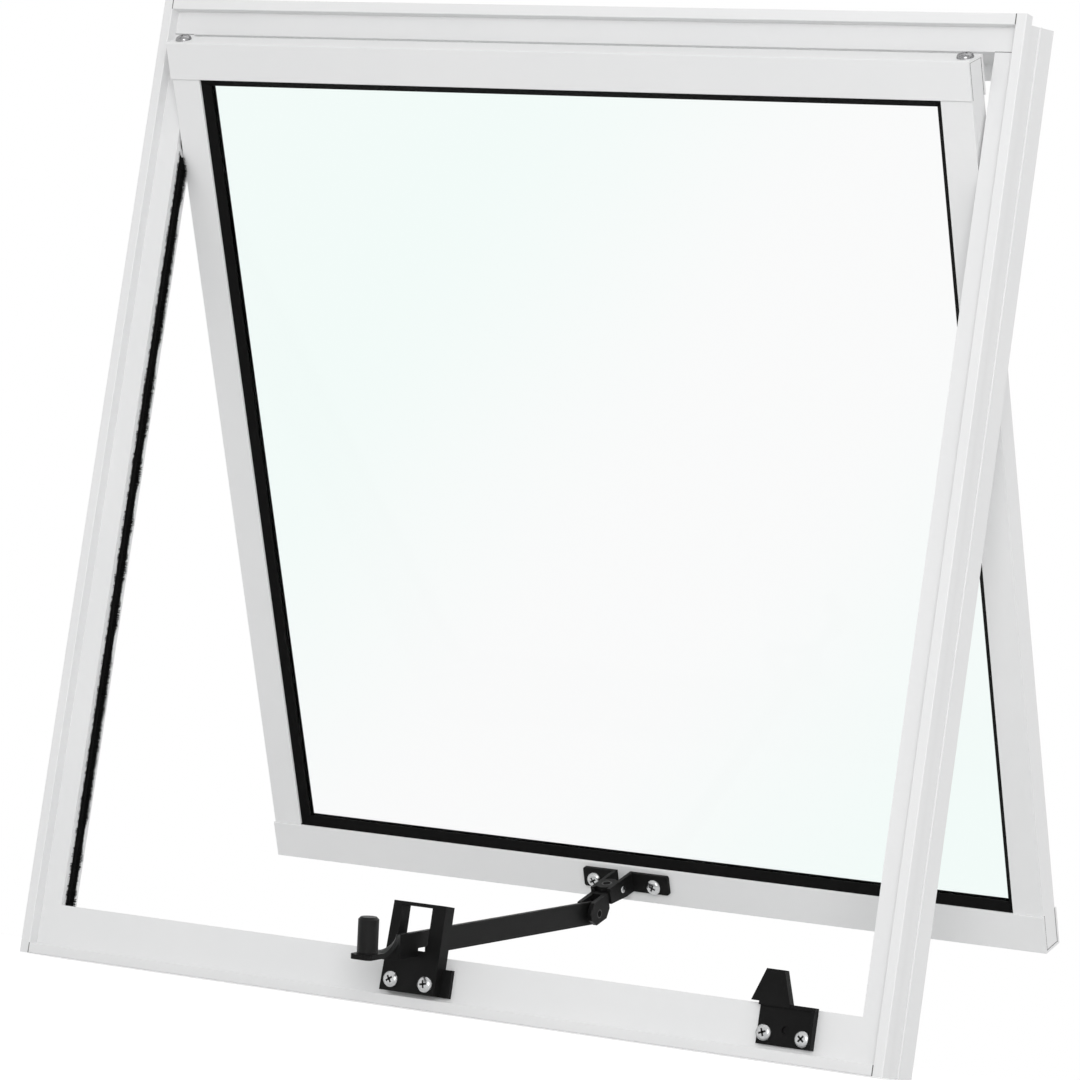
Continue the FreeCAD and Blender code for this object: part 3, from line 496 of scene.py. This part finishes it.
TO_ROOM = (0, -1, 0)
TO_RIGHT = (1, 0, 0)
UPWARDS = (0, 0, 1)
guide_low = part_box("arm_guide")[0]
keep_low, keep_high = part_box("locking_keep")
keep_middle = (keep_low.x + keep_high.x) / 2
add_screws("guide_screws",
           [(guide_low.x + across, guide_low.y, guide_low.z + up) for across, up in GUIDE_SCREWS],
           TO_ROOM, GUIDE_TURNS)
add_screws("keep_screws",
           [(keep_middle + across, keep_high.y - KEEP_PLATE, keep_low.z + up) for across, up in KEEP_SCREWS],
           TO_ROOM, KEEP_TURNS)
add_screws("bracket_screws",
           [(STAY_X + across, SASH_FACE - BRACKET_PLATE, BRACKET_SCREW_Z) for across in BRACKET_SCREWS],
           TO_ROOM, BRACKET_TURNS, SASH_FRAME)
# The top rail's screws take the darker zinc as painted shade
add_screws("top_rail_screws", [(across, 0, SASH_TOP) for across in TOP_RAIL_SCREWS],
           UPWARDS, TOP_RAIL_TURNS, SASH_FRAME, SHADED_ZINC)
smooth_piece(add_copies("bracket_rivet", rivet_mesh(), [RIVET_PLACE], TO_RIGHT, [0], SASH_FRAME, SCREW_ZINC))


def joint_box(bm, low, high):
    """One thin strip between two corners, dark as painted shade in a real gap."""
    block = bmesh.ops.create_cube(bm, size=1.0)["verts"]
    low, high = Vector(low), Vector(high)
    bmesh.ops.scale(bm, vec=high - low, verts=block)
    bmesh.ops.translate(bm, vec=(low + high) / 2, verts=block)


def add_mirrored(name, bm, parent):
    """The strips and their mirror images on the left side."""
    copy = bmesh.ops.duplicate(bm, geom=bm.verts[:] + bm.edges[:] + bm.faces[:])["geom"]
    mirrored = [item for item in copy if isinstance(item, bmesh.types.BMVert)]
    bmesh.ops.scale(bm, vec=(-1, 1, 1), verts=mirrored)
    bmesh.ops.recalc_face_normals(bm, faces=bm.faces)
    bmesh.ops.transform(bm, matrix=parent, verts=bm.verts)
    finish_piece(name, bm, JOINT_SHADE)


def add_frame_joints():
    """Head and sill against the jambs: short lines on the lips, and under the head's face."""
    head_low, head_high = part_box("frame_head")
    jamb_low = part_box("frame_right_jamb")[0]
    face = head_low.y + LIP_DEPTH
    half = JOINT_WIDTH / 2
    bm = bmesh.new()
    for low, high in ((0.0, LIP_WIDTH), (head_high.z - LIP_WIDTH, head_high.z)):
        joint_box(bm, (head_high.x - LIP_JOINT / 2, head_low.y - JOINT_PROUD, low + half),
                  (head_high.x + LIP_JOINT / 2, head_low.y + JOINT_SUNK, high - half))
    under = head_high.z - HEAD_FACE
    joint_box(bm, (jamb_low.x, face - JOINT_PROUD, under - half),
              (head_high.x, face + JOINT_SUNK, under + half))
    add_mirrored("frame_joints", bm, Matrix())


def add_sash_joints():
    """The clearance between each rail's channel and the stile end inside it, seen at the stile's side."""
    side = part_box("sash_right_stile")[1].x
    inside = -SASH_FACE - SECTION_WALL
    bm = bmesh.new()
    for wall, edge in ((SASH_TOP - SECTION_WALL, SASH_TOP - RAIL_FACE),
                       (SASH_LOW + SECTION_WALL, SASH_LOW + RAIL_FACE)):
        low, high = min(wall, edge), max(wall, edge)
        for start, end in ((-inside, JOINT_FRONT - inside), (inside - JOINT_WIDTH, inside)):
            joint_box(bm, (side - JOINT_SUNK, start, low), (side + JOINT_PROUD, end, high))
        inward = math.copysign(JOINT_WIDTH, edge - wall)
        joint_box(bm, (side - JOINT_SUNK, -inside, min(wall, wall + inward)),
                  (side + JOINT_PROUD, inside, max(wall, wall + inward)))
    add_mirrored("sash_joints", bm, SASH_FRAME)


add_frame_joints()
add_sash_joints()


def add_fibre(bm, foot, lean, length, radius):
    """One tapered fibre that stands on its foot along the lean."""
    fibre = bmesh.ops.create_cone(bm, cap_ends=False, segments=FIBRE_SIDES, radius1=radius,
                                  radius2=radius * FIBRE_TAPER, depth=length)["verts"]
    stand = lean.to_track_quat("Z", "X").to_matrix().to_4x4()
    bmesh.ops.transform(bm, matrix=Matrix.Translation(foot + lean * length / 2) @ stand, verts=fibre)


def tuft_mesh(reach, half, fullness):
    """A run of clumped fibres that stand along x from the base, from z = 0 up, and a fringe on the wall."""
    bm = bmesh.new()
    count = int(PILE_RUN / PILE_PITCH)
    clumps = range(math.ceil(count / PILE_CLUMP))
    dip = random.uniform(0.0, PILE_DIP)
    shares = [random.uniform(*CLUMP_SHARE) for clump in clumps]
    lean_across, lean_along = LEAN_STRAY
    for row in range(PILE_ROWS):
        across = (row + 0.5) / PILE_ROWS * 2 - 1
        crown = 1 - PILE_CROWN * across * across
        for index in range(count):
            foot = Vector((PILE_BASE * 0.5,
                           across * ROW_SPREAD * half + random.uniform(-FOOT_STRAY, FOOT_STRAY),
                           (index + random.random()) * PILE_PITCH))
            share = fullness * crown * (1 - dip * (1 - math.cos(math.tau * index / count)) / 2)
            swing = shares[index // PILE_CLUMP] * random.uniform(*FIBRE_SHARE)
            length = reach * share * swing + PILE_BASE * 0.5
            lean = Vector((1.0, across * ROW_LEAN + random.gauss(0, lean_across),
                           random.gauss(0, lean_along))).normalized()
            add_fibre(bm, foot, lean, length, FIBRE_RADIUS)
    for edge in (-1, 1):
        fringe = [random.uniform(*FRINGE_LENGTH) for clump in clumps]
        for index in range(count):
            foot = Vector((FIBRE_RADIUS, edge * FRINGE_FOOT * half, (index + random.random()) * PILE_PITCH))
            lean = Vector((0.0, edge, random.gauss(0, FRINGE_STRAY))).normalized()
            add_fibre(bm, foot, lean, fringe[index // PILE_CLUMP], FRINGE_RADIUS)
    return finish_mesh("tuft", bm)


def add_pile(name, node, side, fullness):
    """A pile brush on a woven base: side is -1 on the left jamb and 1 on the right."""
    random.seed(name)
    low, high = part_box(node)
    reach = high.x - low.x - PILE_BASE
    wall = low.x if side < 0 else high.x
    middle = (low.y + high.y) / 2
    half = (high.y - low.y) / 2
    height = high.z - low.z
    bm = bmesh.new()
    for width, start, depth in ((BASE_WIDTH * half, 0.0, PILE_BASE),
                                (CORE_WIDTH * half, PILE_BASE, CORE_REACH * reach)):
        block = bmesh.ops.create_cube(bm, size=1.0)["verts"]
        bmesh.ops.scale(bm, vec=(depth, width, height), verts=block)
        bmesh.ops.translate(bm, vec=(start + depth / 2, 0, height / 2), verts=block)
    tufts = [tuft_mesh(reach, half, fullness) for kind in range(PILE_KINDS)]
    for run in range(math.ceil(height / PILE_RUN)):
        first = len(bm.verts)
        bm.from_mesh(random.choice(tufts))
        bm.verts.ensure_lookup_table()
        bmesh.ops.translate(bm, vec=(0, 0, run * PILE_RUN), verts=bm.verts[first:])
    facing = Matrix.Rotation(math.pi if side > 0 else 0.0, 4, "Z")
    bmesh.ops.transform(bm, matrix=Matrix.Translation((wall, middle, low.z)) @ facing, verts=bm.verts)

    # The upper end is cut along the open sash
    bmesh.ops.bisect_plane(bm, geom=bm.verts[:] + bm.edges[:] + bm.faces[:], dist=CUT_DISTANCE,
                           plane_co=SASH_FRAME @ Vector((0, SASH_FACE - PILE_CLEAR, 0)),
                           plane_no=SASH_FRAME.to_3x3() @ Vector((0, 1, 0)), clear_outer=True)
    piece = finish_piece(name, bm, PILE_FIBRE)
    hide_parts(node)


add_pile("left_pile_brush", "left_pile_seal", -1, WORN_BRUSH)
add_pile("right_pile_brush", "right_pile_seal", 1, NEAT_BRUSH)


# Stage

floor_shape = bmesh.new()
bmesh.ops.create_grid(floor_shape, x_segments=1, y_segments=1, size=FLOOR_SIZE / 2)
bmesh.ops.translate(floor_shape, vec=(0, 0, cad_box[0].z - FLOOR_GAP), verts=floor_shape.verts)
floor_mesh = finish_mesh("floor", floor_shape)
floor_mesh.materials.append(floor_material())
floor = bpy.data.objects.new("floor", floor_mesh)
bpy.context.scene.collection.objects.link(floor)


def light_room(level):
    """A soft even room, white to the eye and in reflections."""
    world = bpy.data.worlds.new("studio")
    world.use_nodes = True
    tree = world.node_tree
    tree.nodes.clear()
    output = add_node(tree, "ShaderNodeOutputWorld")
    seen = add_node(tree, "ShaderNodeBackground")
    seen.inputs["Color"].default_value = WHITE
    seen.inputs["Strength"].default_value = 1.0
    lit = add_node(tree, "ShaderNodeBackground")
    lit.inputs["Color"].default_value = WHITE
    lit.inputs["Strength"].default_value = level
    mix = add_node(tree, "ShaderNodeMixShader")
    tree.links.new(seen_rays(tree), mix.inputs[0])
    tree.links.new(lit.outputs[0], mix.inputs[1])
    tree.links.new(seen.outputs[0], mix.inputs[2])
    tree.links.new(mix.outputs[0], output.inputs["Surface"])
    bpy.context.scene.world = world


def aim_from(place, target):
    """The turn of a lamp or camera that looks from the place to the target."""
    return (Vector(target) - Vector(place)).to_track_quat("-Z", "Y")


def aim_lamp(lamp, place, target):
    """Hangs a lamp at the place, turned to the target."""
    item = bpy.data.objects.new(lamp.name, lamp)
    item.location = place
    item.rotation_mode = "QUATERNION"
    item.rotation_quaternion = aim_from(place, target)
    bpy.context.scene.collection.objects.link(item)


def add_softbox(name, place, target, size, watts):
    lamp = bpy.data.lights.new(name, "AREA")
    lamp.shape = "DISK"
    lamp.size = size
    lamp.energy = watts
    aim_lamp(lamp, place, target)


def add_sky(name, place, target, spread, strength):
    """A very soft light that falls evenly on the whole floor."""
    lamp = bpy.data.lights.new(name, "SUN")
    lamp.angle = spread
    lamp.energy = strength
    aim_lamp(lamp, place, target)


light_room(ROOM_LEVEL)
add_softbox("key_softbox", KEY_PLACE, KEY_TARGET, KEY_SIZE, KEY_WATTS)
add_sky("top_light", TOP_PLACE, TOP_TARGET, TOP_SPREAD, TOP_STRENGTH)

bpy.context.scene.view_settings.view_transform = "Standard"
camera_data = bpy.data.cameras.new("camera")
camera_data.lens = CAMERA_LENS
camera_data.sensor_width = CAMERA_SENSOR
camera = bpy.data.objects.new("camera", camera_data)
camera.location = CAMERA_PLACE
camera.rotation_mode = "QUATERNION"
roll = Matrix.Rotation(CAMERA_ROLL, 3, "Z").to_quaternion()
camera.rotation_quaternion = aim_from(CAMERA_PLACE, CAMERA_TARGET) @ roll
bpy.context.scene.collection.objects.link(camera)
bpy.context.scene.camera = camera
